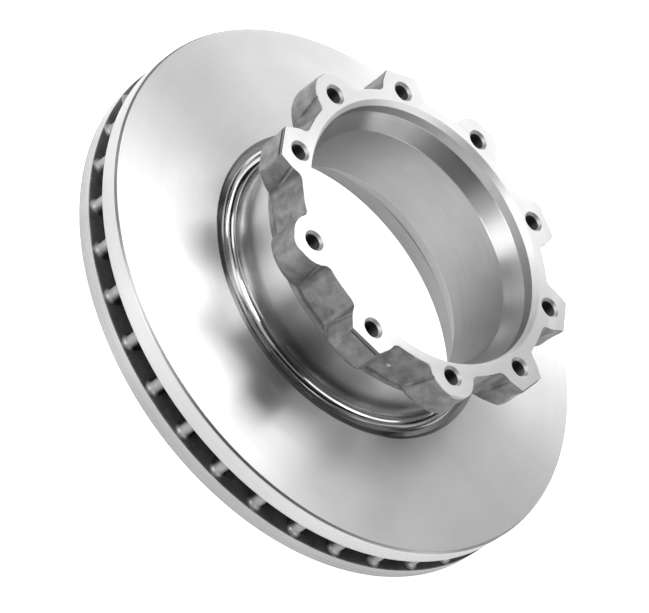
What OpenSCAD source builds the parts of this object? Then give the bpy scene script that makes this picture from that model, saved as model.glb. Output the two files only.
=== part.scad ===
// Ventilated brake disc for a heavy road vehicle: one iron casting, turned where it
// brakes and where it is bolted on. It lies on its rear friction face, base at z = 0,
// and turns about Z. The hat and its bolting flange point up.

/* [Friction ring] */
// Outside diameter of the friction ring
ring_dia = 430; // [415:1:445]
// Thickness of the ring over both friction faces
ring_thickness = 45; // [43:0.5:48]
// Width of the air gap between the two plates
air_gap = 15; // [12:0.5:17]
// Thickness of the rear plate
rear_plate = 14; // [12:0.5:16]
// Inside diameter of the front friction face
face_inner_dia = 250; // [246:1:270]
// Inside diameter of the rear plate
rear_inner_dia = 261; // [252:1:268]
// Chamfer on the outside edges of both friction faces
rim_chamfer = 1.6; // [0.5:0.1:3]
// Chamfer on the inside edges of the rear plate
rear_chamfer = 1.2; // [0.5:0.1:3]

/* [Vent vanes] */
// Number of vanes between the plates
vane_count = 36; // [24:1:38]
// Width of a vane
vane_width = 9.5; // [7:0.25:11]
// Distance of the rounded vane noses from the rim
vane_setback = 2.5; // [1:0.5:10]
// Diameter on which the inner vane noses lie
vane_inner_dia = 276; // [272:1:330]
// Turn of the vanes against the bolt holes, in degrees
vane_turn = 0; // [-5:0.1:5]

/* [Neck] */
// Depth of the neck below the front friction face
neck_drop = 2.6; // [1.5:0.1:3.4]
// Width of the slope from the friction face down to the neck
neck_slope = 2.4; // [1:0.1:4]
// Radius of the polished groove at the foot of the hat
groove_radius = 6; // [4.5:0.1:7]
// Depth of that groove below the neck
groove_depth = 1.1; // [0.5:0.1:1.5]
// How far the groove cuts into the hat wall
groove_bite = 0.3; // [0.1:0.05:0.6]

/* [Hat] */
// Height of the whole disc
disc_height = 131; // [127:0.5:140]
// Diameter of the turned hat wall
wall_dia = 219; // [216:0.5:222]
// Diameter of the long bore through the hat
hat_bore_dia = 190; // [184:0.5:194]
// Height at which the long bore opens into the foot cone
bore_foot_height = 49.5; // [44:0.5:53]
// Half angle of the foot cone behind the neck, in degrees
foot_angle = 38; // [32:1:42]
// Height at which the turned wall ends below the flange
wall_top = 86; // [78:0.5:87]
// How far the cast skin above the turned wall stands out
skin_step = 1.5; // [0.5:0.1:2]

/* [Flange] */
// Diameter of the bolt circle
bolt_circle_dia = 237; // [234:0.5:240]
// Number of bolt holes and lobes
bolt_count = 10; // [8:2:12]
// Diameter of a bolt hole under its thread
bolt_hole_dia = 12.5; // [10:0.1:14]
// Diameter of the chamfered mouth of a bolt hole
hole_mouth_dia = 16.6; // [14.6:0.1:17.4]
// Diameter of the flange between the lobes
valley_dia = 232; // [228:0.5:234]
// Radius of a lobe
lobe_radius = 20; // [18:0.25:22]
// Distance of the lobe centres from the axis
lobe_distance = 116; // [114:0.25:118]
// Radius of the hollow between a lobe and the flange
hollow_radius = 6; // [4:0.25:8]
// Distance of the flats from the axis
flat_distance = 134.6; // [132:0.1:135]
// Half the length of a flat between its rounded corners
flat_half = 11; // [9:0.25:12]
// Radius of the corners beside a flat
corner_radius = 3.5; // [2:0.25:4]
// Height of the milled strip at the top of a flat
strip_height = 3; // [1.5:0.25:5]
// Depth of the milled strip
strip_depth = 0.7; // [0.3:0.1:1.2]
// Diameter at which the edge chamfer of the domed lobes starts
lobe_chamfer_dia = 269.2; // [268.8:0.1:271]
// Thickness of the flange at the tips of the lobes
lobe_thickness = 26.5; // [23:0.5:30]
// Slope of the flange's underside, in degrees
under_slope = 24; // [15:1:30]
// Width of the hollow between that underside and the hat
under_hollow = 5; // [3:0.25:5]

/* [Pilot] */
// Diameter of the pilot bore
pilot_dia = 209; // [205:0.1:210]
// Depth of the pilot bore below the flange face
pilot_depth = 13; // [11:0.5:16]
// Diameter of the chamfered mouth of the pilot bore
pilot_mouth_dia = 215; // [212:0.5:216]
// Depth of that chamfer
pilot_mouth_depth = 4.4; // [2:0.1:6]
// Height of the cone between the pilot bore and the long bore
cone_height = 12.5; // [10:0.5:18]

/* [Hidden] */
$fn = 120;

ring_r = ring_dia / 2;
gap_low = rear_plate;
gap_high = rear_plate + air_gap;
neck_z = ring_thickness - neck_drop;
face_r = face_inner_dia / 2;
wall_r = wall_dia / 2;
bore_r = hat_bore_dia / 2;
skin_r = wall_r + skin_step;
tip_r = lobe_distance + lobe_radius;
pilot_z = disc_height - pilot_depth;
overlap = 2;

// Lobes with a flat: every other one, and the one opposite the first.
function has_flat(i) = i % 2 == 0 || 2 * i == bolt_count;

// Body of revolution under the flange: front plate, neck and hat wall, still solid.
module plate_and_wall_profile() {
    groove_x = wall_r + groove_radius - groove_bite;
    groove_z = neck_z - groove_depth + groove_radius;
    difference() {
        polygon([
            [0, gap_high],
            [ring_r, gap_high],
            [ring_r, ring_thickness - rim_chamfer],
            [ring_r - rim_chamfer, ring_thickness],
            [face_r, ring_thickness],
            [face_r - neck_slope, neck_z],
            [groove_x, neck_z],
            [groove_x, groove_z],
            [wall_r, groove_z],
            [wall_r, wall_top],
            [skin_r, wall_top],
            [skin_r, disc_height - 10],
            [0, disc_height - 10]
        ]);
        translate([groove_x, groove_z])
            circle(r = groove_radius);
    }
}

// Everything open inside the hat: foot cone, long bore, cone, pilot bore and mouth.
module bore_profile() {
    foot_run = (bore_foot_height - gap_high + overlap) * tan(foot_angle);
    mouth_slope = (pilot_mouth_dia - pilot_dia) / 2 / pilot_mouth_depth;
    polygon([
        [0, gap_high - overlap],
        [bore_r + foot_run, gap_high - overlap],
        [bore_r, bore_foot_height],
        [bore_r, pilot_z - cone_height],
        [pilot_dia / 2, pilot_z],
        [pilot_dia / 2, disc_height - pilot_mouth_depth],
        [pilot_mouth_dia / 2 + mouth_slope, disc_height + 1],
        [0, disc_height + 1]
    ]);
}

// Rear plate of the friction ring, open to the air in the middle.
module rear_plate_ring() {
    inner_r = rear_inner_dia / 2;
    color("silver")
        rotate_extrude()
            polygon([
                [inner_r + rear_chamfer, 0],
                [ring_r - rim_chamfer, 0],
                [ring_r, rim_chamfer],
                [ring_r, gap_low],
                [inner_r + rear_chamfer, gap_low],
                [inner_r, gap_low - rear_chamfer],
                [inner_r, rear_chamfer]
            ]);
}

// Radial vanes with rounded noses, cast between the plates.
module vanes() {
    inner_x = vane_inner_dia / 2 + vane_width / 2;
    outer_x = ring_r - vane_setback - vane_width / 2;
    color("dimgray")
        for (i = [0 : vane_count - 1])
            rotate(i * 360 / vane_count + vane_turn)
                translate([0, 0, gap_low - overlap])
                    linear_extrude(air_gap + 2 * overlap) {
                        translate([inner_x, -vane_width / 2])
                            square([outer_x - inner_x, vane_width]);
                        translate([inner_x, 0])
                            circle(d = vane_width);
                        translate([outer_x, 0])
                            circle(d = vane_width);
                    }
}

// Concave hollow on one side of a lobe, tangent to the lobe and to the flange.
module lobe_hollow() {
    reach = valley_dia / 2 + hollow_radius;
    side = lobe_radius + hollow_radius;
    centre_x = (reach * reach + lobe_distance * lobe_distance - side * side)
        / (2 * lobe_distance);
    centre_y = sqrt(reach * reach - centre_x * centre_x);
    difference() {
        polygon([[0, 0], [lobe_distance, 0], [centre_x, centre_y]]);
        translate([centre_x, centre_y])
            circle(r = hollow_radius);
    }
}

// Lobe with a dome-shaped outer edge.
module domed_lobe() {
    translate([lobe_distance, 0])
        circle(r = lobe_radius);
}

// Lobe cut off by a flat, with a rounded corner on either side.
module flat_lobe() {
    corner_x = flat_distance - corner_radius;
    run_x = corner_x - lobe_distance;
    gap = sqrt(run_x * run_x + flat_half * flat_half);
    lean = atan2(flat_half, run_x) + acos(min(1, (lobe_radius - corner_radius) / gap));
    intersection() {
        domed_lobe();
        translate([lobe_distance - lobe_radius, -lobe_radius - 1])
            square([flat_distance - lobe_distance + lobe_radius, 2 * lobe_radius + 2]);
    }
    for (side = [-1, 1])
        translate([corner_x, side * flat_half])
            circle(r = corner_radius);
    polygon([
        [lobe_distance, 0],
        [lobe_distance + lobe_radius * cos(lean), lobe_radius * sin(lean)],
        [corner_x + corner_radius * cos(lean), flat_half + corner_radius * sin(lean)],
        [corner_x, flat_half],
        [flat_distance, flat_half],
        [flat_distance, -flat_half],
        [corner_x, -flat_half],
        [corner_x + corner_radius * cos(lean), -flat_half - corner_radius * sin(lean)],
        [lobe_distance + lobe_radius * cos(lean), -lobe_radius * sin(lean)]
    ]);
}

// Outline of the flange with its domed and flat lobes.
module flange_outline() {
    circle(r = valley_dia / 2);
    for (i = [0 : bolt_count - 1])
        rotate(i * 360 / bolt_count) {
            if (has_flat(i))
                flat_lobe();
            else
                domed_lobe();
            lobe_hollow();
            mirror([0, 1])
                lobe_hollow();
        }
}

// Turned envelope of the flange: flat top, chamfered tips, sloping underside.
module flange_envelope() {
    far_r = tip_r + 4;
    tip_z = disc_height - lobe_thickness;
    chamfer_r = lobe_chamfer_dia / 2;
    hollow_z = tip_z - (tip_r - skin_r - under_hollow) * tan(under_slope);
    rotate_extrude()
        polygon([
            [0, hollow_z - 1.4 * under_hollow],
            [skin_r, hollow_z - 1.4 * under_hollow],
            [skin_r + under_hollow, hollow_z],
            [far_r, tip_z + (far_r - tip_r) * tan(under_slope)],
            [far_r, disc_height - far_r + chamfer_r],
            [chamfer_r, disc_height],
            [0, disc_height]
        ]);
}

// Bolting flange with its lobes, still without bore and holes.
module flange() {
    color("gray")
        intersection() {
            translate([0, 0, wall_top - 20])
                linear_extrude(disc_height - wall_top + 30)
                    flange_outline();
            flange_envelope();
        }
}

// Tapped bolt holes with chamfered mouths, drilled through the flange.
module bolt_holes() {
    mouth_depth = (hole_mouth_dia - bolt_hole_dia) / 2;
    for (i = [0 : bolt_count - 1])
        rotate(i * 360 / bolt_count)
            translate([bolt_circle_dia / 2, 0, 0]) {
                translate([0, 0, wall_top - 10])
                    cylinder(d = bolt_hole_dia, h = disc_height - wall_top + 20);
                translate([0, 0, disc_height - mouth_depth])
                    cylinder(d1 = bolt_hole_dia, d2 = hole_mouth_dia + 2,
                        h = mouth_depth + 1);
            }
}

// Milled strips along the tops of the flats.
module flat_strips() {
    for (i = [0 : bolt_count - 1])
        if (has_flat(i))
            rotate(i * 360 / bolt_count)
                translate([flat_distance - strip_depth, -lobe_radius - 2, disc_height - strip_height])
                    cube([10, 2 * lobe_radius + 4, strip_height + 1]);
}

// The casting after turning and drilling.
module brake_disc() {
    difference() {
        union() {
            color("silver")
                rotate_extrude()
                    plate_and_wall_profile();
            flange();
        }
        rotate_extrude()
            bore_profile();
        bolt_holes();
        flat_strips();
    }
    rear_plate_ring();
    vanes();
}

brake_disc();
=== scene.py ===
# %% [markdown]
# # A ventilated brake disc for a heavy road vehicle
#
# The disc is one grey iron casting. Two plates with radial vanes between them form
# the friction ring, a deep hat rises from the inner edge of the front plate, and ten
# lobes round the top of the hat carry the bolt holes. A lathe has turned every surface
# that brakes, locates or seals; the lobes and the air channels stay as cast.
#
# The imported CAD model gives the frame: its sizes hold, and each piece here is drawn
# finer in the same place, so that edges, fillets and threads show in close views.

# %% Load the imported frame
import math
import bmesh
import bpy
import numpy as np
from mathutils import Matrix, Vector, noise


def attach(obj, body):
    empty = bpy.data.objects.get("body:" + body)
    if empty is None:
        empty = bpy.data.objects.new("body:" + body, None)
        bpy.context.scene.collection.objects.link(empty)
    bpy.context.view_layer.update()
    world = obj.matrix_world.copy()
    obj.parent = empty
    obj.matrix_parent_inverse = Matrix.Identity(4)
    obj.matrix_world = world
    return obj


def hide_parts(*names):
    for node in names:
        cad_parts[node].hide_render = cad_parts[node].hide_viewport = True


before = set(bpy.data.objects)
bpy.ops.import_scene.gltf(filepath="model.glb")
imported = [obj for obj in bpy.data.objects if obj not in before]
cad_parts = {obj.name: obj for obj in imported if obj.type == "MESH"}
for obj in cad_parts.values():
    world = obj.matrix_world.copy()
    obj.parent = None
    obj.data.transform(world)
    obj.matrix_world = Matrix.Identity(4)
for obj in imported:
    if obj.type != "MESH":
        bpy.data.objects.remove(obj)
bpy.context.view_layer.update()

# %% [markdown]
# ## Sizes
#
# All sizes are in millimetres, as on the drawing, and become metres only when a mesh
# is written. Radii are used instead of diameters, because every section is drawn from
# the axis outwards. Names match the places on the disc, so that a change is easy.

# %% Sizes in millimetres
RING_R, RING_TOP, GAP_LOW, GAP_HIGH = 215.0, 45.0, 14.0, 29.0
FACE_R, REAR_INNER_R, RIM_CHAMFER = 125.0, 130.5, 1.6
NECK_R, NECK_Z, GROOVE_R = 122.6, 42.4, 6.0
GROOVE_X, GROOVE_Z = 115.2, 47.3
WALL_R, WALL_TOP, SKIN_R = 109.5, 86.0, 111.0
BORE_R, BORE_FOOT, CONE_LOW = 95.0, 49.5, 105.5
PILOT_R, PILOT_LOW = 104.5, 118.0
MOUTH_R, MOUTH_LOW, TOP = 107.5, 126.6, 131.0
VALLEY_R, LOBE_R, LOBE_X, HOLLOW_R = 116.0, 20.0, 116.0, 6.0
FLAT_X, FLAT_HALF, CORNER_R = 134.6, 11.0, 3.5
STRIP_LOW, STRIP_X, CHAMFER_R = 128.0, 133.9, 134.6
TIP_R, TIP_LOW, UNDER_SLOPE = 136.0, 104.5, math.radians(24)
BOLT_X, THREAD_R, CORE_R, HOLE_MOUTH_R, PITCH = 118.5, 7.0, 6.25, 8.3, 1.5
LOBES, VANES = 10, 36
print("height", TOP, "mm, outside diameter", 2 * RING_R, "mm,", LOBES, "lobes,", VANES, "vanes")

# %% [markdown]
# ## Making closed meshes
#
# Every piece of the disc is a closed solid, so that it shades, exports and slices
# well. A helper writes a grid of points that wraps in one or both directions, gives
# each strip of faces its finish, and closes the ends. Faces that meet at a steep angle
# get a sharp edge, and the rest shade smoothly, as turned metal does.

# %% Mesh helper
SHARP = math.radians(28)
pieces = {}


def make_piece(name, verts, faces, finishes, slots):
    """Writes a mesh in metres, merges doubled points and turns its faces outwards."""
    mesh = bpy.data.meshes.new(name)
    mesh.from_pydata([tuple(v) for v in np.asarray(verts) / 1000.0], [], faces)
    for slot in slots:
        mesh.materials.append(bpy.data.materials[slot])
    index = {slot: i for i, slot in enumerate(slots)}
    mesh.polygons.foreach_set("material_index", [index[f] for f in finishes])
    bm = bmesh.new()
    bm.from_mesh(mesh)
    bmesh.ops.remove_doubles(bm, verts=bm.verts, dist=2e-6)
    bmesh.ops.recalc_face_normals(bm, faces=bm.faces)
    open_edges = sum(1 for e in bm.edges if not e.is_manifold)
    bm.to_mesh(mesh)
    bm.free()
    mesh.shade_smooth()
    mesh.set_sharp_from_angle(angle=SHARP)
    obj = bpy.data.objects.new(name, mesh)
    bpy.context.scene.collection.objects.link(obj)
    pieces[name] = obj
    print(f"{name}: {len(mesh.polygons)} faces, {open_edges} open edges")
    return obj


def wrap(rows, columns, close_rows=True):
    """Faces of a grid of points that wraps along its columns, and along its rows if asked."""
    faces = []
    for i in range(rows if close_rows else rows - 1):
        k = (i + 1) % rows
        for j in range(columns):
            m = (j + 1) % columns
            faces.append((i * columns + j, i * columns + m, k * columns + m, k * columns + j))
    return faces


def one_to_copy(name, verts, row_count, columns, finish):
    """A closed piece that is only copied: a grid of points with both ends filled."""
    faces = wrap(row_count, columns, close_rows=False)
    faces += [tuple(reversed(range(columns))), tuple(range((row_count - 1) * columns, row_count * columns))]
    made = make_piece(name, verts, faces, [finish] * len(faces), [finish])
    del pieces[name]
    return made


def on_circle(steps):
    """Angles of evenly spaced points all the way round."""
    return np.arange(steps) * 2 * math.pi / steps


# %% [markdown]
# ## Sections with broken edges
#
# No edge on a real casting or turning is perfectly sharp: a lathe hand breaks it with
# a file, and a mould rounds it. A section is therefore drawn as corners, each with its
# own rounding, and this helper draws the arcs. It also sets a holding point on either
# side of an arc, which keeps the long flat runs from shading as if they were curved.

# %% Rounded sections
def soften(corners, hold=0.4):
    """Rounds a closed section. A corner is radius, height, rounding, finish of the run after it."""
    points = []
    count = len(corners)
    for i, (x, z, rounding, finish) in enumerate(corners):
        p = np.array((x, z))
        a = np.array(corners[i - 1][:2]) - p
        b = np.array(corners[(i + 1) % count][:2]) - p
        run_a, run_b = np.linalg.norm(a), np.linalg.norm(b)
        a, b = a / run_a, b / run_b
        bend = math.pi - math.acos(max(-1.0, min(1.0, float(a @ b))))
        if rounding <= 0 or bend < 0.01:
            points.append((x, z, finish))
            continue
        reach = min(rounding * math.tan(bend / 2), 0.45 * run_a, 0.45 * run_b)
        radius = reach / math.tan(bend / 2)
        centre = p + (a + b) / np.linalg.norm(a + b) * radius / math.cos(bend / 2)
        first, last = p + a * reach - centre, p + b * reach - centre
        steps = max(2, round(math.degrees(bend) / 15))
        if run_a > 2 * (reach + hold):
            points.append((*(p + a * (reach + hold)), corners[i - 1][3]))
        for k in range(steps + 1):
            s = k / steps
            v = (math.sin((1 - s) * bend) * first + math.sin(s * bend) * last) / math.sin(bend)
            points.append((*(centre + v), finish))
        if run_b > 2 * (reach + hold):
            points.append((*(p + b * (reach + hold)), finish))
    return points


def turn(name, section, steps, slots):
    """Revolves a closed section about the axis, as a lathe would leave it."""
    angles = on_circle(steps)
    verts = [(r * c, r * s, z) for r, z, _ in section for c, s in zip(np.cos(angles), np.sin(angles))]
    finishes = [f for _, _, f in section for _ in range(steps)]
    return make_piece(name, verts, wrap(len(section), steps), finishes, slots)


# %% [markdown]
# ## Shared shader groups
#
# Two effects come back in several finishes, so each is a node group with named inputs.
# Turning marks are fine rings round the axis: noise read along radius plus height makes
# them follow flat faces, walls and cones alike. Cast grain is the print of the sand:
# coarse noise for the swells, fine noise for the grit, and small bright specks.

# %% Node helpers and shared groups
def add(tree, kind, **settings):
    """Adds a node and sets its properties."""
    made = tree.nodes.new(kind)
    for key, value in settings.items():
        setattr(made, key, value)
    return made


def calc(tree, operation, a, b=None):
    """A Math node. Each of a and b is a socket or a number."""
    made = add(tree, "ShaderNodeMath", operation=operation)
    for socket, value in zip(made.inputs, (a, b)):
        if value is None:
            continue
        if isinstance(value, (int, float)):
            socket.default_value = value
        else:
            tree.links.new(value, socket)
    return made.outputs[0]


def ramp(tree, value, low, high, out_low=0.0, out_high=1.0):
    """Maps a value from one range to another, clamped."""
    made = add(tree, "ShaderNodeMapRange")
    tree.links.new(value, made.inputs["Value"])
    for key, number in (("From Min", low), ("From Max", high), ("To Min", out_low), ("To Max", out_high)):
        if isinstance(number, (int, float)):
            made.inputs[key].default_value = number
        else:
            tree.links.new(number, made.inputs[key])
    return made.outputs["Result"]


def grain(tree, vector, scale, detail=2.0, roughness=0.5):
    """A 3D noise of the given scale, in features a metre."""
    made = add(tree, "ShaderNodeTexNoise")
    tree.links.new(vector, made.inputs["Vector"])
    if isinstance(scale, (int, float)):
        made.inputs["Scale"].default_value = scale
    else:
        tree.links.new(scale, made.inputs["Scale"])
    made.inputs["Detail"].default_value = detail
    made.inputs["Roughness"].default_value = roughness
    return made.outputs["Fac"]


def shared_group(name, inputs, outputs):
    """An empty shader group with named float sockets."""
    group = bpy.data.node_groups.new(name, "ShaderNodeTree")
    for label, value in inputs:
        socket = group.interface.new_socket(label, in_out="INPUT", socket_type="NodeSocketFloat")
        socket.default_value = value
    for label in outputs:
        group.interface.new_socket(label, in_out="OUTPUT", socket_type="NodeSocketFloat")
    return group, group.nodes.new("NodeGroupInput").outputs, group.nodes.new("NodeGroupOutput").inputs


turning, given, out = shared_group(
    "turning marks", [("Lines per metre", 2500.0), ("Band width", 0.012)], ["Lines", "Bands", "Drift"])
place = add(turning, "ShaderNodeTexCoord").outputs["Object"]
apart = add(turning, "ShaderNodeSeparateXYZ")
turning.links.new(place, apart.inputs[0])
x, y, z = apart.outputs
radius = calc(turning, "SQRT", calc(turning, "ADD", calc(turning, "MULTIPLY", x, x), calc(turning, "MULTIPLY", y, y)))
along = calc(turning, "ADD", radius, z)
unit = [calc(turning, "DIVIDE", part, calc(turning, "MAXIMUM", radius, 0.001)) for part in (x, y)]
arcs = add(turning, "ShaderNodeCombineXYZ")
turning.links.new(calc(turning, "MULTIPLY", along, given["Lines per metre"]), arcs.inputs[0])
turning.links.new(calc(turning, "MULTIPLY", unit[0], 1.6), arcs.inputs[1])
turning.links.new(calc(turning, "MULTIPLY", unit[1], 1.6), arcs.inputs[2])
bands = add(turning, "ShaderNodeCombineXYZ")
turning.links.new(calc(turning, "DIVIDE", along, given["Band width"]), bands.inputs[0])
turning.links.new(calc(turning, "MULTIPLY", unit[0], 0.7), bands.inputs[1])
turning.links.new(calc(turning, "MULTIPLY", unit[1], 0.7), bands.inputs[2])
turning.links.new(grain(turning, arcs.outputs[0], 1.0, 3.0, 0.6), out["Lines"])
turning.links.new(grain(turning, bands.outputs[0], 1.0, 2.0), out["Bands"])
turning.links.new(grain(turning, place, 22.0, 2.0), out["Drift"])

casting, given, out = shared_group(
    "cast grain", [("Grit per metre", 900.0), ("Swell per metre", 90.0)], ["Height", "Tone", "Specks"])
place = add(casting, "ShaderNodeTexCoord").outputs["Object"]
grit = grain(casting, place, given["Grit per metre"], 4.0, 0.62)
swell = grain(casting, place, given["Swell per metre"], 3.0, 0.55)
pits = add(casting, "ShaderNodeTexVoronoi")
casting.links.new(place, pits.inputs["Vector"])
casting.links.new(calc(casting, "MULTIPLY", given["Grit per metre"], 0.55), pits.inputs["Scale"])
casting.links.new(calc(casting, "ADD", calc(casting, "MULTIPLY", grit, 0.45), calc(casting, "MULTIPLY", swell, 0.55)),
                  out["Height"])
casting.links.new(ramp(casting, swell, 0.32, 0.68), out["Tone"])
dots = ramp(casting, pits.outputs["Distance"], 0.22, 0.10)
rare = ramp(casting, grain(casting, place, 260.0, 1.0), 0.58, 0.66)
casting.links.new(calc(casting, "MULTIPLY", dots, rare), out["Specks"])
print("shared groups:", [g.name for g in bpy.data.node_groups])

# %% [markdown]
# ## Turned iron
#
# A turned face reflects light in streaks across its grooves, so a flat ring shows
# bright and dark sectors that run from the axis outwards. The shader's anisotropy does
# this: its tangent follows the grooves round the axis, and a quarter turn stretches the
# highlight across them. The marks only vary the tone, the roughness and a faint bump.

# %% Turned finishes
def shader_of(name):
    """A new material with its tree and shader."""
    material = bpy.data.materials.new(name)
    material.use_nodes = True
    return material, material.node_tree, material.node_tree.nodes["Principled BSDF"]


def grey(tone, lift=0.0):
    """A grey with a little more blue, as bare iron has."""
    return tone, tone, tone + lift


def blend_tones(tree, amount, dark, light):
    """Mixes two greys by a value."""
    made = add(tree, "ShaderNodeMix", data_type="RGBA")
    tree.links.new(amount, made.inputs["Factor"])
    made.inputs["A"].default_value = (*dark, 1)
    made.inputs["B"].default_value = (*light, 1)
    return made.outputs["Result"]


def turned_iron(name, dark, light, rough_low, rough_high, anisotropy, lines, band, bump):
    """Iron cut on the lathe. Lines are rings a metre, band is in metres and bump in millimetres."""
    _, tree, shader = shader_of(name)
    marks = add(tree, "ShaderNodeGroup", node_tree=turning)
    marks.inputs["Lines per metre"].default_value = lines
    marks.inputs["Band width"].default_value = band
    tone = calc(tree, "ADD", calc(tree, "MULTIPLY", marks.outputs["Lines"], 0.5),
                calc(tree, "MULTIPLY", marks.outputs["Drift"], 0.5))
    tree.links.new(blend_tones(tree, ramp(tree, tone, 0.38, 0.62), dark, light), shader.inputs["Base Color"])
    tree.links.new(ramp(tree, marks.outputs["Bands"], 0.3, 0.7, rough_low, rough_high), shader.inputs["Roughness"])
    raised = add(tree, "ShaderNodeBump")
    raised.inputs["Distance"].default_value = bump / 1000.0
    tree.links.new(marks.outputs["Lines"], raised.inputs["Height"])
    tree.links.new(raised.outputs["Normal"], shader.inputs["Normal"])
    shader.inputs["Metallic"].default_value = 1.0
    shader.inputs["Anisotropic"].default_value = anisotropy
    shader.inputs["Anisotropic Rotation"].default_value = 0.25
    place = add(tree, "ShaderNodeTexCoord").outputs["Object"]
    round_axis = add(tree, "ShaderNodeVectorMath", operation="CROSS_PRODUCT")
    round_axis.inputs[0].default_value = (0, 0, 1)
    tree.links.new(place, round_axis.inputs[1])
    level = add(tree, "ShaderNodeVectorMath", operation="NORMALIZE")
    tree.links.new(round_axis.outputs[0], level.inputs[0])
    tree.links.new(level.outputs[0], shader.inputs["Tangent"])


FINISHES = {  # darker grey, lighter grey, blue lift, roughness from and to, anisotropy, rings a metre, band, bump
    "friction_face": (0.61, 0.67, 0.005, 0.38, 0.43, 0.90, 2600.0, 0.010, 0.002),
    "turned_wall": (0.62, 0.68, 0.005, 0.26, 0.31, 0.70, 1900.0, 0.008, 0.0012),
    "hat_wall": (0.60, 0.66, 0.005, 0.18, 0.23, 0.60, 1900.0, 0.008, 0.001),
    "bore_wall": (0.49, 0.57, 0.005, 0.30, 0.35, 0.60, 1500.0, 0.012, 0.0008),
    # The neck finish is painted far darker than other turned iron: painted shade and painted reflection of the dark
    # hat wall.
    "turned_neck_painted_shade": (0.21, 0.27, 0.002, 0.13, 0.18, 0.40, 1900.0, 0.006, 0.0006),
    # The next finish is painted dark as painted shade, for the shadow line at the edge of the friction face and on
    # the milled strips of the flat lobes.
    "relief_cut_painted_shade": (0.15, 0.21, 0.002, 0.32, 0.40, 0.30, 1500.0, 0.006, 0.001),
    "flange_face": (0.63, 0.68, 0.005, 0.32, 0.38, 0.60, 2200.0, 0.009, 0.002),
    "mouth_chamfer": (0.80, 0.86, 0.005, 0.46, 0.54, 0.30, 2200.0, 0.009, 0.002),
    # The next finish is painted very light, as painted light from beneath, on the foot of the hat and the inner edge
    # of the rear plate.
    "inner_cut_painted_light": (0.88, 0.94, 0.005, 0.50, 0.58, 0.20, 1500.0, 0.008, 0.002),
    "polished_groove": (0.54, 0.60, 0.005, 0.14, 0.18, 0.30, 1500.0, 0.004, 0.0004),
    "milled_edge": (0.40, 0.50, 0.005, 0.30, 0.40, 0.20, 1200.0, 0.006, 0.003),
    "hole_chamfer": (0.63, 0.69, 0.005, 0.40, 0.48, 0.10, 900.0, 0.005, 0.001),
    "cut_thread": (0.09, 0.16, 0.0, 0.32, 0.45, 0.10, 900.0, 0.005, 0.002),
}
for name, (dark, light, lift, *marks) in FINISHES.items():
    turned_iron(name, grey(dark, lift), grey(light, lift), *marks)
print("turned finishes:", [m.name for m in bpy.data.materials if m.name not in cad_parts])

# %% [markdown]
# ## Cast iron skin
#
# The skin that the sand leaves is dull, mid grey and uneven, with grit under the blast
# scale and a few bright specks where a grain of steel shot has struck. It is still
# metal, but so rough that it shows no reflection, only light and shade. Inside the air
# channels the skin is painted darker, as painted shade, and the vanes carry painted
# shade further in and painted light at their noses.

# %% Cast finishes
def cast_iron(name, dark, light, speck, metal, rough_low, rough_high, grit, swell, bump, painted_shade_radii=None):
    """Iron as it comes from the mould. Grit and swell are features a metre, bump is in millimetres.
    Given two radii in metres, the skin inside the first is painted near black, as painted shade deep in a channel,
    and keeps its own tone past the second."""
    _, tree, shader = shader_of(name)
    skin = add(tree, "ShaderNodeGroup", node_tree=casting)
    skin.inputs["Grit per metre"].default_value = grit
    skin.inputs["Swell per metre"].default_value = swell
    base = blend_tones(tree, skin.outputs["Tone"], dark, light)
    # Painted shade: inward of the given radii the skin is mixed to near black.
    if painted_shade_radii:
        place = add(tree, "ShaderNodeTexCoord").outputs["Object"]
        level = add(tree, "ShaderNodeVectorMath", operation="MULTIPLY")
        tree.links.new(place, level.inputs[0])
        level.inputs[1].default_value = (1, 1, 0)
        reach = add(tree, "ShaderNodeVectorMath", operation="LENGTH")
        tree.links.new(level.outputs[0], reach.inputs[0])
        scale = add(tree, "ShaderNodeMix", data_type="RGBA")
        tree.links.new(ramp(tree, reach.outputs["Value"], *painted_shade_radii), scale.inputs["Factor"])
        scale.inputs["A"].default_value = (*grey(0.055), 1)
        tree.links.new(base, scale.inputs["B"])
        base = scale.outputs["Result"]
    bright = add(tree, "ShaderNodeMix", data_type="RGBA")
    tree.links.new(calc(tree, "MULTIPLY", skin.outputs["Specks"], 0.8), bright.inputs["Factor"])
    tree.links.new(base, bright.inputs["A"])
    bright.inputs["B"].default_value = (*speck, 1)
    tree.links.new(bright.outputs["Result"], shader.inputs["Base Color"])
    tree.links.new(ramp(tree, skin.outputs["Height"], 0.35, 0.65, rough_high, rough_low), shader.inputs["Roughness"])
    raised = add(tree, "ShaderNodeBump")
    raised.inputs["Distance"].default_value = bump / 1000.0
    tree.links.new(skin.outputs["Height"], raised.inputs["Height"])
    tree.links.new(raised.outputs["Normal"], shader.inputs["Normal"])
    shader.inputs["Metallic"].default_value = metal


SPECK, BRIGHT_SPECK = grey(0.60), grey(0.80)
cast_iron("cast_skin", grey(0.165, 0.005), grey(0.295, 0.005), SPECK, 0.75, 0.38, 0.50, 1150.0, 110.0, 0.32)
cast_iron("pip_skin", grey(0.40, 0.005), grey(0.56, 0.005), BRIGHT_SPECK, 0.75, 0.34, 0.46, 900.0, 160.0, 0.15)
# Painted shade: the skin inside the air channels is painted much darker than the outer skin.
cast_iron("channel_skin_painted_shade", grey(0.10), grey(0.17, 0.002), grey(0.40), 0.5, 0.55, 0.75, 600.0, 80.0, 0.6)
# Painted light and shade on the vanes: the noses get a lighter grey for the light at the rim, and further in the skin
# is painted near black for the shade in the channel.
cast_iron("vane_skin_painted_light_and_shade", grey(0.32, 0.005), grey(0.42, 0.005), BRIGHT_SPECK, 0.7, 0.42, 0.58, 700.0, 120.0, 0.4,
          painted_shade_radii=(0.2065, 0.2105))
print("cast finishes: cast_skin, pip_skin, channel_skin_painted_shade, vane_skin_painted_light_and_shade")

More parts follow.
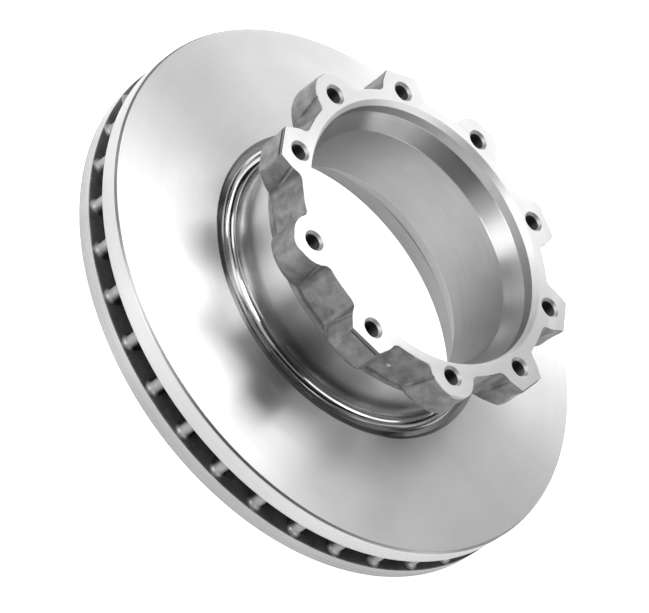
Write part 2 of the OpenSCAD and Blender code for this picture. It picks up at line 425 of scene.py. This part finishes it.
# %% [markdown]
# ## Front plate, neck and hat
#
# This is the body that the lathe spends most time on. One closed section runs over the
# friction face, down the slope to the neck, round the polished groove at the foot of
# the hat, up the turned wall, and back down through the mouth, the pilot bore, the
# cone, the long bore and its foot. A revolve makes it as the machine does.

# %% Turned body
def groove_arc(steps=20):
    """The round-nosed groove, from the neck floor to the hat wall."""
    first = math.atan2(NECK_Z - GROOVE_Z, math.sqrt(GROOVE_R ** 2 - (NECK_Z - GROOVE_Z) ** 2))
    last = -math.pi - math.asin(math.sqrt(GROOVE_R ** 2 - (WALL_R - GROOVE_X) ** 2) / GROOVE_R)
    turns = np.linspace(first, last, steps + 1)
    return [(GROOVE_X + GROOVE_R * math.cos(t), GROOVE_Z + GROOVE_R * math.sin(t), 0.0, "polished_groove")
            for t in turns]


outer_run = [
    # Painted shade: the ceiling of the air channels gets the darkened channel skin.
    (SKIN_R, GAP_HIGH, 1.5, "channel_skin_painted_shade"),
    (RING_R, GAP_HIGH, 0.8, "turned_wall"),
    (RING_R, RING_TOP - RIM_CHAMFER, 0.25, "milled_edge"),
    (RING_R - RIM_CHAMFER, RING_TOP, 0.25, "friction_face"),
    # Painted shade: the slope down from the edge of the friction face is painted dark.
    (FACE_R, RING_TOP, 0.35, "relief_cut_painted_shade"),
    # Painted shade: the neck floor is painted dark.
    (NECK_R, NECK_Z, 0.5, "turned_neck_painted_shade"),
]
groove = groove_arc()
inner_run = [
    (WALL_R, WALL_TOP - 0.6, 0.3, "cast_skin"),
    (SKIN_R, WALL_TOP + 0.6, 0.5, "cast_skin"),
    (SKIN_R, TOP - 4, 0.0, "cast_skin"),
    (SKIN_R - 1.5, TOP - 0.06, 0.0, "flange_face"),
    (MOUTH_R - 0.03, TOP - 0.03, 0.0, "mouth_chamfer"),
    (PILOT_R, MOUTH_LOW, 0.3, "bore_wall"),
    (PILOT_R, PILOT_LOW, 0.8, "bore_wall"),
    (BORE_R, CONE_LOW, 1.5, "bore_wall"),
    # Painted light: the foot of the hat below the bore is painted a very light grey.
    (BORE_R, BORE_FOOT, 0.9, "inner_cut_painted_light"),
]
TURN_STEPS = 480
body = turn("turned_body", soften(outer_run + groove[:-1] + [(*groove[-1][:3], "hat_wall")] + inner_run), TURN_STEPS,
            ["friction_face", "turned_wall", "hat_wall", "bore_wall", "relief_cut_painted_shade", "turned_neck_painted_shade", "polished_groove",
             "flange_face", "mouth_chamfer", "inner_cut_painted_light", "milled_edge", "cast_skin", "channel_skin_painted_shade"])

# %% [markdown]
# ## Rear plate
#
# The rear plate hangs on the vanes alone, which lets air in through the middle. Its
# outer face, rim and inner edge are turned, and the side towards the channels stays
# cast. Again one section and one revolve are enough.

# %% Rear plate
INNER_CHAMFER = 1.2
rear = turn("rear_plate", soften([
    (REAR_INNER_R + INNER_CHAMFER, 0, 0.3, "friction_face"),
    (RING_R - RIM_CHAMFER, 0, 0.25, "milled_edge"),
    (RING_R, RIM_CHAMFER, 0.25, "turned_wall"),
    # Painted shade: the channel side of the rear plate gets the darkened channel skin.
    (RING_R, GAP_LOW, 0.8, "channel_skin_painted_shade"),
    # Painted light: the inner edge of the rear plate is painted a very light grey.
    (REAR_INNER_R + INNER_CHAMFER, GAP_LOW, 0.4, "inner_cut_painted_light"),
    (REAR_INNER_R, GAP_LOW - INNER_CHAMFER, 0.3, "inner_cut_painted_light"),
    (REAR_INNER_R, INNER_CHAMFER, 0.3, "inner_cut_painted_light"),
]), TURN_STEPS, ["friction_face", "turned_wall", "inner_cut_painted_light", "milled_edge", "channel_skin_painted_shade"])

# %% [markdown]
# ## Outline of the bolting flange
#
# Ten lobes surround the flange, one for each bolt. Four of them keep the round tip of
# the casting; the other six are cut to a flat with rounded corners. Between lobes a
# small hollow leads into the valley. The outline is built from these arcs in order, with
# points evenly spaced along the curve, and closer where the mould's crease runs down.

# %% Flange outline
def arc(cx, cy, radius, start, end, spacing):
    """Points on an arc, from start up to but not including end, angles in degrees."""
    steps = max(2, math.ceil(abs(math.radians(end - start)) * radius / spacing))
    turns = np.radians(np.linspace(start, end, steps + 1)[:-1])
    return [(cx + radius * math.cos(t), cy + radius * math.sin(t)) for t in turns]


def line(p, q, spacing):
    """Points on a straight run, without its end."""
    steps = max(2, math.ceil(math.dist(p, q) / spacing))
    return [(p[0] + (q[0] - p[0]) * k / steps, p[1] + (q[1] - p[1]) * k / steps) for k in range(steps)]


CREASE_X, CREASE_HALF = 123.5, 1.7


def lobe_side(start, end):
    """The round side of a lobe, with closer points across the crease."""
    fine = max(start, math.degrees(math.acos((CREASE_X + CREASE_HALF - LOBE_X) / LOBE_R)))
    coarse = arc(LOBE_X, 0, LOBE_R, start, fine, 0.8) if fine > start else []
    return coarse + arc(LOBE_X, 0, LOBE_R, fine, end, 0.35)


def half_lobe(flat):
    """Outline of half a lobe above the X axis, from its tip to the middle of the valley."""
    reach, side = VALLEY_R + HOLLOW_R, LOBE_R + HOLLOW_R
    cx = (reach ** 2 + LOBE_X ** 2 - side ** 2) / (2 * LOBE_X)
    cy = math.sqrt(reach ** 2 - cx ** 2)
    to_lobe = math.degrees(math.atan2(cy, cx - LOBE_X))
    to_axis = math.degrees(math.atan2(cy, cx))
    if flat:
        corner_x = FLAT_X - CORNER_R
        lean = math.degrees(math.atan2(FLAT_HALF, corner_x - LOBE_X)
                            + math.acos((LOBE_R - CORNER_R) / math.hypot(corner_x - LOBE_X, FLAT_HALF)))
        c, s = math.cos(math.radians(lean)), math.sin(math.radians(lean))
        points = line((FLAT_X, 0), (FLAT_X, FLAT_HALF), 1.0)
        points += arc(corner_x, FLAT_HALF, CORNER_R, 0, lean, 0.45)
        points += line((corner_x + CORNER_R * c, FLAT_HALF + CORNER_R * s), (LOBE_X + LOBE_R * c, LOBE_R * s), 0.9)
        points += lobe_side(lean, to_lobe)
    else:
        points = lobe_side(0, to_lobe)
    points += arc(cx, cy, HOLLOW_R, to_lobe + 180, to_axis + 180, 0.4)
    valley = 180 / LOBES
    points += arc(0, 0, VALLEY_R, to_axis, valley, 1.0)
    return points + [(VALLEY_R * math.cos(math.radians(valley)), VALLEY_R * math.sin(math.radians(valley)))]


outline, is_flat, lobe_turn = [], [], []
for lobe in range(LOBES):  # every second lobe is cut flat, and so is the one opposite the first
    flat = lobe % 2 == 0 or lobe == LOBES // 2
    upper = half_lobe(flat)
    lower = [(px, -py) for px, py in reversed(upper[1:-1])]
    angle = lobe * 2 * math.pi / LOBES
    for px, py in lower + upper:
        outline.append((px * math.cos(angle) - py * math.sin(angle), px * math.sin(angle) + py * math.cos(angle)))
        is_flat.append(flat)
        lobe_turn.append(angle)
outline, is_flat, lobe_turn = np.array(outline), np.array(is_flat), np.array(lobe_turn)
far = np.hypot(outline[:, 0], outline[:, 1])
print("outline:", len(outline), "points, radius from", far.min().round(2), "to", far.max().round(2), "mm")

# %% [markdown]
# ## Bolting flange
#
# The flange is drawn in rows that all follow the outline: the turned top, a broken
# edge, the milled strip on the flats, the cast sides, a rounded lower edge and the
# sloping underside that runs into the hat. The cast rows get a little unevenness in
# the mesh itself, up to half a millimetre, so that the sides catch the light as a
# casting does. The corners of the flats soften below the milled strip, and where a
# lobe meets the wall between lobes, the mould leaves a slanted crease.

# %% Flange body
ahead, behind = np.roll(outline, -1, 0), np.roll(outline, 1, 0)
tangent = ahead - behind
tangent /= np.linalg.norm(tangent, axis=1)[:, None]
outward = np.stack([tangent[:, 1], -tangent[:, 0]], 1)
radial = outline / far[:, None]

local_x = outline[:, 0] * np.cos(lobe_turn) + outline[:, 1] * np.sin(lobe_turn)
cut_back = np.where(is_flat, np.maximum(0.0, local_x - STRIP_X), 0.0)
top_line = outline - np.stack([np.cos(lobe_turn), np.sin(lobe_turn)], 1) * cut_back[:, None]
top_far = np.hypot(top_line[:, 0], top_line[:, 1])
EDGE, UNDER_EDGE, FILLET_R = 0.35, 2.6, 5.0
chamfer = np.maximum(EDGE, np.where(is_flat, 0.0, top_far - CHAMFER_R))
edge_line = np.where((chamfer > EDGE)[:, None], top_line - radial * chamfer[:, None], top_line - outward * EDGE)


def underside(points):
    """Height of the sloping underside at points in plan."""
    return TIP_LOW - (TIP_R - np.hypot(points[:, 0], points[:, 1])) * math.tan(UNDER_SLOPE)


def level(height):
    return np.full(len(outline), float(height))


rows = []


def row(points, heights, finish, unevenness=0.0):
    """One row of the flange. The finish is that of the faces between it and the next row, one or one a point."""
    named = [finish] * len(outline) if isinstance(finish, str) else list(finish)
    rows.append((np.array(points), np.array(heights), named, unevenness))


for share in (0.0, 0.04, 0.35, 0.7, 0.97):
    row(radial * MOUTH_R * (1 - share) + edge_line * share, level(TOP), "flange_face")
# Painted shade: the milled strip and broken edge of the flat lobes are painted dark, for the shadow line there.
strip = np.where(cut_back > 0, "relief_cut_painted_shade", "cast_skin")
row(edge_line, level(TOP), np.where(is_flat, "relief_cut_painted_shade", "flange_face"))
first_side_row = len(rows)
row(top_line, TOP - chamfer, strip)
row(top_line, level(STRIP_LOW + 0.25), strip)
row(top_line, level(STRIP_LOW), strip)
row(outline, level(STRIP_LOW), "cast_skin")
lower_edge = underside(outline) + UNDER_EDGE
for share in (0.015, *np.arange(0.07, 0.95, 0.0733), 0.97):
    row(outline, STRIP_LOW * (1 - share) + lower_edge * share, "cast_skin", min(1.0, share * 4))
for bend in np.radians((0, 22, 45, 68, 90)):
    moved = outline - outward * UNDER_EDGE * (1 - math.cos(bend))
    row(moved, underside(moved) + UNDER_EDGE * (1 - math.sin(bend)), "cast_skin", 1.0)
last_side_row = len(rows)
fillet_turn = math.pi / 2 - UNDER_SLOPE
reach = FILLET_R * math.tan(fillet_turn / 2)
slope_r = SKIN_R + reach * math.cos(UNDER_SLOPE)
inner_edge = outline - outward * UNDER_EDGE
for share in (0.2, 0.5, 0.8, 1.0):
    moved = inner_edge * (1 - share) + radial * slope_r * share
    row(moved, underside(moved), "cast_skin", 1.0 - 0.6 * share)
low_z = TIP_LOW - (TIP_R - SKIN_R) * math.tan(UNDER_SLOPE) - reach
foot_r, hidden_r = SKIN_R + 0.04, 108.3
for share in (0.75, 0.5, 0.25, 0.0):
    bend = fillet_turn * share
    row(radial * (foot_r + FILLET_R * (1 - math.cos(bend))), level(low_z + FILLET_R * math.sin(bend)), "cast_skin")
row(radial * foot_r, level(low_z - 1.2), "cast_skin")
row(radial * hidden_r, level(low_z - 1.6), "cast_skin")
row(radial * hidden_r, level(TOP - 0.6), "cast_skin")

local_y = np.abs(outline[:, 1] * np.cos(lobe_turn) - outline[:, 0] * np.sin(lobe_turn))
CORNER_SOFT, CORNER_Y, CORNER_SPREAD, CORNER_FADE = 1.1, 12.0, 2.6, 8.0
corner = CORNER_SOFT * np.exp(-((local_y - CORNER_Y) / CORNER_SPREAD) ** 2) * (is_flat & (local_x > 126))
CREASE_DEPTH, CREASE_LEAN, CREASE_FADE = 1.0, 0.25, 5.0
crease_low = np.where(is_flat, 110.0, 105.5)


def crease(height):
    """Depth of the mould's crease, a round hollow that runs down and inwards on each side of a lobe."""
    off = np.minimum(1, np.abs(local_x - (CREASE_X - CREASE_LEAN * (TOP - height))) / CREASE_HALF)
    fade = np.clip((height - crease_low) / CREASE_FADE, 0, 1) * (local_y > 15)
    return CREASE_DEPTH / 2 * (1 + np.cos(math.pi * off)) * fade


verts, finishes = [], []
for number, (points, heights, finish, unevenness) in enumerate(rows):
    push = np.zeros(len(points))
    if first_side_row <= number < last_side_row:
        push = -crease(heights) - corner * np.clip((STRIP_LOW - heights) / CORNER_FADE, 0, 1)
    if unevenness:
        cloud = [0.16 + 0.2 * noise.noise(Vector(at) / 14) + 0.09 * noise.noise(Vector(at) / 5 + Vector((7, 3, 1)))
                 for at in zip(*points.T, heights)]
        push -= unevenness * np.array(cloud)
    verts += [(*p, h) for p, h in zip(points + outward * push[:, None], heights)]
    finishes += finish
flange = make_piece("bolting_flange", verts, wrap(len(rows), len(outline)), finishes,
                    ["flange_face", "relief_cut_painted_shade", "cast_skin"])

# %% [markdown]
# ## Copies round the axis
#
# Vanes, bolt holes and threads repeat evenly round the disc, which is a job for
# Geometry Nodes: one small tree places copies of any piece on a circle, each turned to
# face outwards, and makes them real geometry. Number, circle and turn are its inputs,
# so one tree serves every pattern on the disc.

# %% Ring tree
def ring_tree():
    """A Geometry Nodes tree that sets copies of a piece on a circle."""
    tree = bpy.data.node_groups.new("copies on a circle", "GeometryNodeTree")
    tree.interface.new_socket("Geometry", in_out="INPUT", socket_type="NodeSocketGeometry")
    for label, kind in (("Piece", "Object"), ("Count", "Int"), ("Circle Radius", "Float"), ("Turn", "Float"),
                        ("Finish", "Material")):
        tree.interface.new_socket(label, in_out="INPUT", socket_type="NodeSocket" + kind)
    tree.interface.new_socket("Geometry", in_out="OUTPUT", socket_type="NodeSocketGeometry")
    given, link = add(tree, "NodeGroupInput").outputs, tree.links.new
    share = calc(tree, "DIVIDE", add(tree, "GeometryNodeInputIndex").outputs[0], given["Count"])
    angle = calc(tree, "ADD", calc(tree, "MULTIPLY", share, 2 * math.pi), given["Turn"])
    spot, spin = add(tree, "ShaderNodeCombineXYZ"), add(tree, "ShaderNodeCombineXYZ")
    link(calc(tree, "MULTIPLY", calc(tree, "COSINE", angle), given["Circle Radius"]), spot.inputs[0])
    link(calc(tree, "MULTIPLY", calc(tree, "SINE", angle), given["Circle Radius"]), spot.inputs[1])
    link(angle, spin.inputs[2])
    points = add(tree, "GeometryNodePoints")
    link(given["Count"], points.inputs["Count"])
    link(spot.outputs[0], points.inputs["Position"])
    source = add(tree, "GeometryNodeObjectInfo")
    link(given["Piece"], source.inputs["Object"])
    copies = add(tree, "GeometryNodeInstanceOnPoints")
    link(points.outputs[0], copies.inputs["Points"])
    link(source.outputs["Geometry"], copies.inputs["Instance"])
    link(spin.outputs[0], copies.inputs["Rotation"])
    real, dress = add(tree, "GeometryNodeRealizeInstances"), add(tree, "GeometryNodeSetMaterial")
    link(copies.outputs[0], real.inputs[0])
    link(real.outputs[0], dress.inputs["Geometry"])
    link(given["Finish"], dress.inputs["Material"])
    link(dress.outputs[0], add(tree, "NodeGroupOutput").inputs[0])
    return tree


ring_of = ring_tree()


def copies_round(name, piece, count, circle_mm, turn_deg, finish):
    """Runs the tree on one piece and keeps the result as a plain mesh."""
    carrier = bpy.data.objects.new(name + "_carrier", bpy.data.meshes.new(name + "_carrier"))
    bpy.context.scene.collection.objects.link(carrier)
    modifier = carrier.modifiers.new("copies", "NODES")
    modifier.node_group = ring_of
    sockets = {s.name: s.identifier for s in ring_of.interface.items_tree if s.in_out == "INPUT"}
    for label, value in (("Piece", piece), ("Count", count), ("Circle Radius", circle_mm / 1000.0),
                         ("Turn", math.radians(turn_deg)), ("Finish", bpy.data.materials[finish])):
        modifier[sockets[label]] = value
    seen = bpy.context.evaluated_depsgraph_get()
    mesh = bpy.data.meshes.new_from_object(carrier.evaluated_get(seen), depsgraph=seen)
    bpy.data.objects.remove(carrier)
    bpy.data.objects.remove(piece)
    mesh.name = name
    mesh.shade_smooth()
    mesh.set_sharp_from_angle(angle=math.radians(35))
    made = bpy.data.objects.new(name, mesh)
    bpy.context.scene.collection.objects.link(made)
    pieces[name] = made
    print(f"{name}: {count} copies, {len(mesh.polygons)} faces")
    return made


# %% [markdown]
# ## Vent vanes
#
# The vanes join the two plates and pump air outwards while the disc turns. A moulded
# vane has a round nose at both ends and runs into the plates with a generous fillet,
# where the sand core was rounded to keep the iron from cracking. One vane is built in
# rows from plate to plate, each a long rounded outline, and the tree sets 36 of them.

# %% Vanes
VANE_INNER, VANE_MID, VANE_OUTER, VANE_FILLET, VANE_HALF = 142.75, 175.0, 207.75, 2.6, 4.5


def vane_outline(half_width, steps=12):
    """Plan of a vane at one height, lengthways along X from the middle of its circle."""
    turns = np.radians(np.linspace(-90, 90, steps + 1))
    tip, tail = VANE_OUTER - VANE_MID, VANE_INNER - VANE_MID
    nose = [(tip + half_width * math.cos(t), half_width * math.sin(t)) for t in turns]
    return nose + [(tail - half_width * math.cos(t), -half_width * math.sin(t)) for t in turns]


heights, widths = [], []
for bend in np.radians((0, 15, 35, 55, 75, 90)):
    heights.append(GAP_LOW - 0.05 + VANE_FILLET * (1 - math.cos(bend)))
    widths.append(VANE_HALF + VANE_FILLET * (1 - math.sin(bend)))
middle = (GAP_LOW + GAP_HIGH) / 2
rise = [GAP_LOW - 1.0] + heights + [middle] + [2 * middle - h for h in reversed(heights)] + [GAP_HIGH + 1.0]
spread = [widths[0]] + widths + [VANE_HALF] + list(reversed(widths)) + [widths[0]]
verts = [(px, py, h) for h, w in zip(rise, spread) for px, py in vane_outline(w)]
# The vanes carry painted light at their noses and painted shade further in, from their skin.
one_vane = one_to_copy("one_vane", verts, len(rise), len(vane_outline(VANE_HALF)), "vane_skin_painted_light_and_shade")
vanes = copies_round("vent_vanes", one_vane, VANES, VANE_MID, 0.0, "vane_skin_painted_light_and_shade")

# %% [markdown]
# ## Bolt holes and threads
#
# Each lobe is drilled right through, chamfered at the mouth and tapped. The holes are
# cut with a Boolean from a turned cutter, as a drill and a countersink would. The thread
# is a real ridge that winds down the hole: it starts at the foot of the chamfer, as
# a clean thread does, and it is built once and set in every hole by the same tree.

# %% Drilling the flange
CUT_STEPS = 48
CHAMFER_FOOT = TOP - (HOLE_MOUTH_R - CORE_R)
profile = [(THREAD_R, 80.0), (THREAD_R, CHAMFER_FOOT - 0.5), (CORE_R, CHAMFER_FOOT), (HOLE_MOUTH_R + 1, TOP + 1)]
verts = [(r * math.cos(t), r * math.sin(t), h) for r, h in profile for t in on_circle(CUT_STEPS)]
one_drill = one_to_copy("one_drill", verts, len(profile), CUT_STEPS, "cut_thread")
drills = copies_round("drills", one_drill, LOBES, BOLT_X, 0.0, "cut_thread")
cut = flange.modifiers.new("drilling", "BOOLEAN")
cut.operation, cut.object, cut.solver = "DIFFERENCE", drills, "EXACT"
cut.material_mode = "TRANSFER"
seen = bpy.context.evaluated_depsgraph_get()
drilled = bpy.data.meshes.new_from_object(flange.evaluated_get(seen), depsgraph=seen)
flange.modifiers.remove(cut)
flange.data = drilled
bpy.data.objects.remove(drills)
del pieces["drills"]
chamfered = [p for p in drilled.polygons if drilled.materials[p.material_index].name == "cut_thread"
             and p.center.z > CHAMFER_FOOT / 1000]
drilled.materials.append(bpy.data.materials["hole_chamfer"])
for face in chamfered:
    face.material_index = len(drilled.materials) - 1
drilled.shade_smooth()
drilled.set_sharp_from_angle(angle=SHARP)
print("flange after drilling:", len(drilled.polygons), "faces, finishes", [m.name for m in drilled.materials])

# %% Threads
TURN_POINTS = 24
low, high = 100.5, CHAMFER_FOOT - 0.3
root_r = THREAD_R + 0.06
ridge = ((root_r, -0.64), (CORE_R, -0.1), (CORE_R, 0.1), (root_r, 0.64))
count = int((high - low) / PITCH * TURN_POINTS)
verts = []
for k in range(count + 1):
    t, h = 2 * math.pi * k / TURN_POINTS, low + PITCH * k / TURN_POINTS
    verts += [(r * math.cos(t), r * math.sin(t), min(h + dz, high)) for r, dz in ridge]
one_thread = one_to_copy("one_thread", verts, count + 1, len(ridge), "cut_thread")
copies_round("bolt_threads", one_thread, LOBES, BOLT_X, 0.0, "cut_thread")

# %% [markdown]
# ## Casting pip
#
# On the wall between two lobes sits one small round pip, where a pin of the pattern or
# a vent of the mould left its mark. Its skin is a lighter grey than the skin around it.

# %% Casting pip
PIP_R, PIP_Z, PIP_HALF, PIP_RISE, PIP_STEPS, PIP_ROWS = 115.5, 110.0, 2.1, 1.3, 24, 13
pip_angle = math.radians(87.4)
out_way, up_way = Vector((math.cos(pip_angle), math.sin(pip_angle), 0)), Vector((0, 0, 1))
side_way = up_way.cross(out_way)
verts = []
for tilt in np.radians(np.linspace(-90, 90, PIP_ROWS)):
    middle = out_way * (PIP_R + PIP_RISE * math.sin(tilt)) + up_way * PIP_Z
    across = PIP_HALF * math.cos(tilt)
    verts += [middle + (side_way * math.cos(t) + up_way * math.sin(t)) * across for t in on_circle(PIP_STEPS)]
faces = wrap(PIP_ROWS, PIP_STEPS, close_rows=False)
make_piece("casting_pip", verts, faces, ["pip_skin"] * len(faces), ["pip_skin"])

# %% [markdown]
# ## Handing the pieces to the frame
#
# The disc has no joints, so every piece rides on the one body. Together they stand for
# the single CAD solid, which stays behind, hidden.

# %% Frame
for piece in pieces.values():
    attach(piece, "root")
for piece in (body, rear, flange, vanes):
    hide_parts("brake_disc")
print("pieces:", sorted(pieces), "with", sum(len(p.data.polygons) for p in pieces.values()), "faces")

# %% [markdown]
# ## Floor, light and camera
#
# A product picture of bright metal needs white surroundings to reflect, with darker
# gaps that draw its form. Soft panels stand round the disc in rings, strongest high
# behind it and low in front. The floor is a plain pale sheet. The camera looks down on
# the disc from the side, rolled so that the axis leans to the upper right.

# %% Floor
material, tree, shader = shader_of("studio_floor")
place = add(tree, "ShaderNodeTexCoord").outputs["Object"]
mottle = ramp(tree, grain(tree, place, 3.0, 3.0), 0.3, 0.7)
tree.links.new(blend_tones(tree, mottle, (0.90, 0.90, 0.90), (0.93, 0.93, 0.93)), shader.inputs["Base Color"])
tree.links.new(ramp(tree, grain(tree, place, 40.0), 0.3, 0.7, 0.8, 0.95), shader.inputs["Roughness"])
shader.inputs["Specular IOR Level"].default_value = 0.1
tree.links.new(blend_tones(tree, mottle, (0.99, 0.99, 0.99), (1.0, 1.0, 1.0)), shader.inputs["Emission Color"])
shader.inputs["Emission Strength"].default_value = 0.18
glow, seen_by = add(tree, "ShaderNodeEmission"), add(tree, "ShaderNodeLightPath")
both = add(tree, "ShaderNodeAddShader")
tree.links.new(seen_by.outputs["Is Camera Ray"], glow.inputs["Strength"])
tree.links.new(shader.outputs[0], both.inputs[0])
tree.links.new(glow.outputs[0], both.inputs[1])
tree.links.new(both.outputs[0], tree.nodes["Material Output"].inputs["Surface"])
FLOOR_R, FLOOR_Z, FLOOR_STEPS = 6.0, -0.0006, 96
rim = [(FLOOR_R * math.cos(t), FLOOR_R * math.sin(t), FLOOR_Z) for t in on_circle(FLOOR_STEPS)]
floor_mesh = bpy.data.meshes.new("studio_floor")
floor_mesh.from_pydata(rim, [], [tuple(range(FLOOR_STEPS))])
floor_mesh.materials.append(material)
floor = bpy.data.objects.new("studio_floor", floor_mesh)
bpy.context.scene.collection.objects.link(floor)

# %% Light
world = bpy.data.worlds.new("studio")
world.use_nodes = True
world.node_tree.nodes["Background"].inputs["Color"].default_value = (1, 1, 1, 1)
world.node_tree.nodes["Background"].inputs["Strength"].default_value = 0.0
bpy.context.scene.world = world
bpy.context.scene.view_settings.view_transform = "Standard"
PANEL_HIGH, PANEL_FAR, PANEL_AIM = 0.82, 2.4, 0.06


def panel(name, azimuth, elevation, width, power):
    """A soft panel that faces the disc, placed by its direction from the hat."""
    light = bpy.data.lights.new(name, "AREA")
    light.shape, light.size, light.size_y, light.energy = "RECTANGLE", width, PANEL_HIGH, power
    holder = bpy.data.objects.new(name, light)
    a, e = math.radians(azimuth), math.radians(elevation)
    toward = Vector((math.cos(a) * math.cos(e), math.sin(a) * math.cos(e), math.sin(e)))
    holder.location = toward * PANEL_FAR + Vector((0, 0, PANEL_AIM))
    holder.rotation_euler = toward.to_track_quat("Z", "Y").to_euler()
    holder.visible_camera = False
    bpy.context.scene.collection.objects.link(holder)


DOME = [  # elevation, first azimuth, panel width, then the watts of each panel in the ring
    (9, 0.0, 1.082, [1.8, 26.9, 0.0, 0.0, 5.7, 10.9, 5.6, 0.7, 4.9, 5.3, 9.5, 0.0, 0.8, 5.9]),
    (29, 15.0, 1.125, [6.3, 2.2, 0.9, 0.3, 0.0, 0.6, 0.0, 0.0, 4.6, 0.0, 0.0, 0.0]),
    (49, 0.0, 1.146, [3.6, 1.3, 0.0, 0.0, 0.8, 2.4, 3.5, 9.4, 1.9]),
    (68, 36.0, 1.306, [0.0, 0.0, 5.3, 28.4, 6.4]),
    (90, 0.0, 0.8, [1.1]),
]
for elevation, first, width, powers in DOME:
    for k, power in enumerate(powers):
        if power:
            panel(f"panel_{elevation}_{k}", first + 360 * k / len(powers), elevation, width, power)

# %% Camera
camera = bpy.data.objects.new("camera", bpy.data.cameras.new("camera"))
camera.location = (1.15699, 1.68323, 1.70984)
camera.rotation_euler = (0.60385, -0.68131, -3.00488)
camera.data.sensor_width, camera.data.lens = 36.0, 199.01
camera.data.clip_end = 50.0
bpy.context.scene.collection.objects.link(camera)
bpy.context.scene.camera = camera

# %% Update the view layer
bpy.context.view_layer.update()
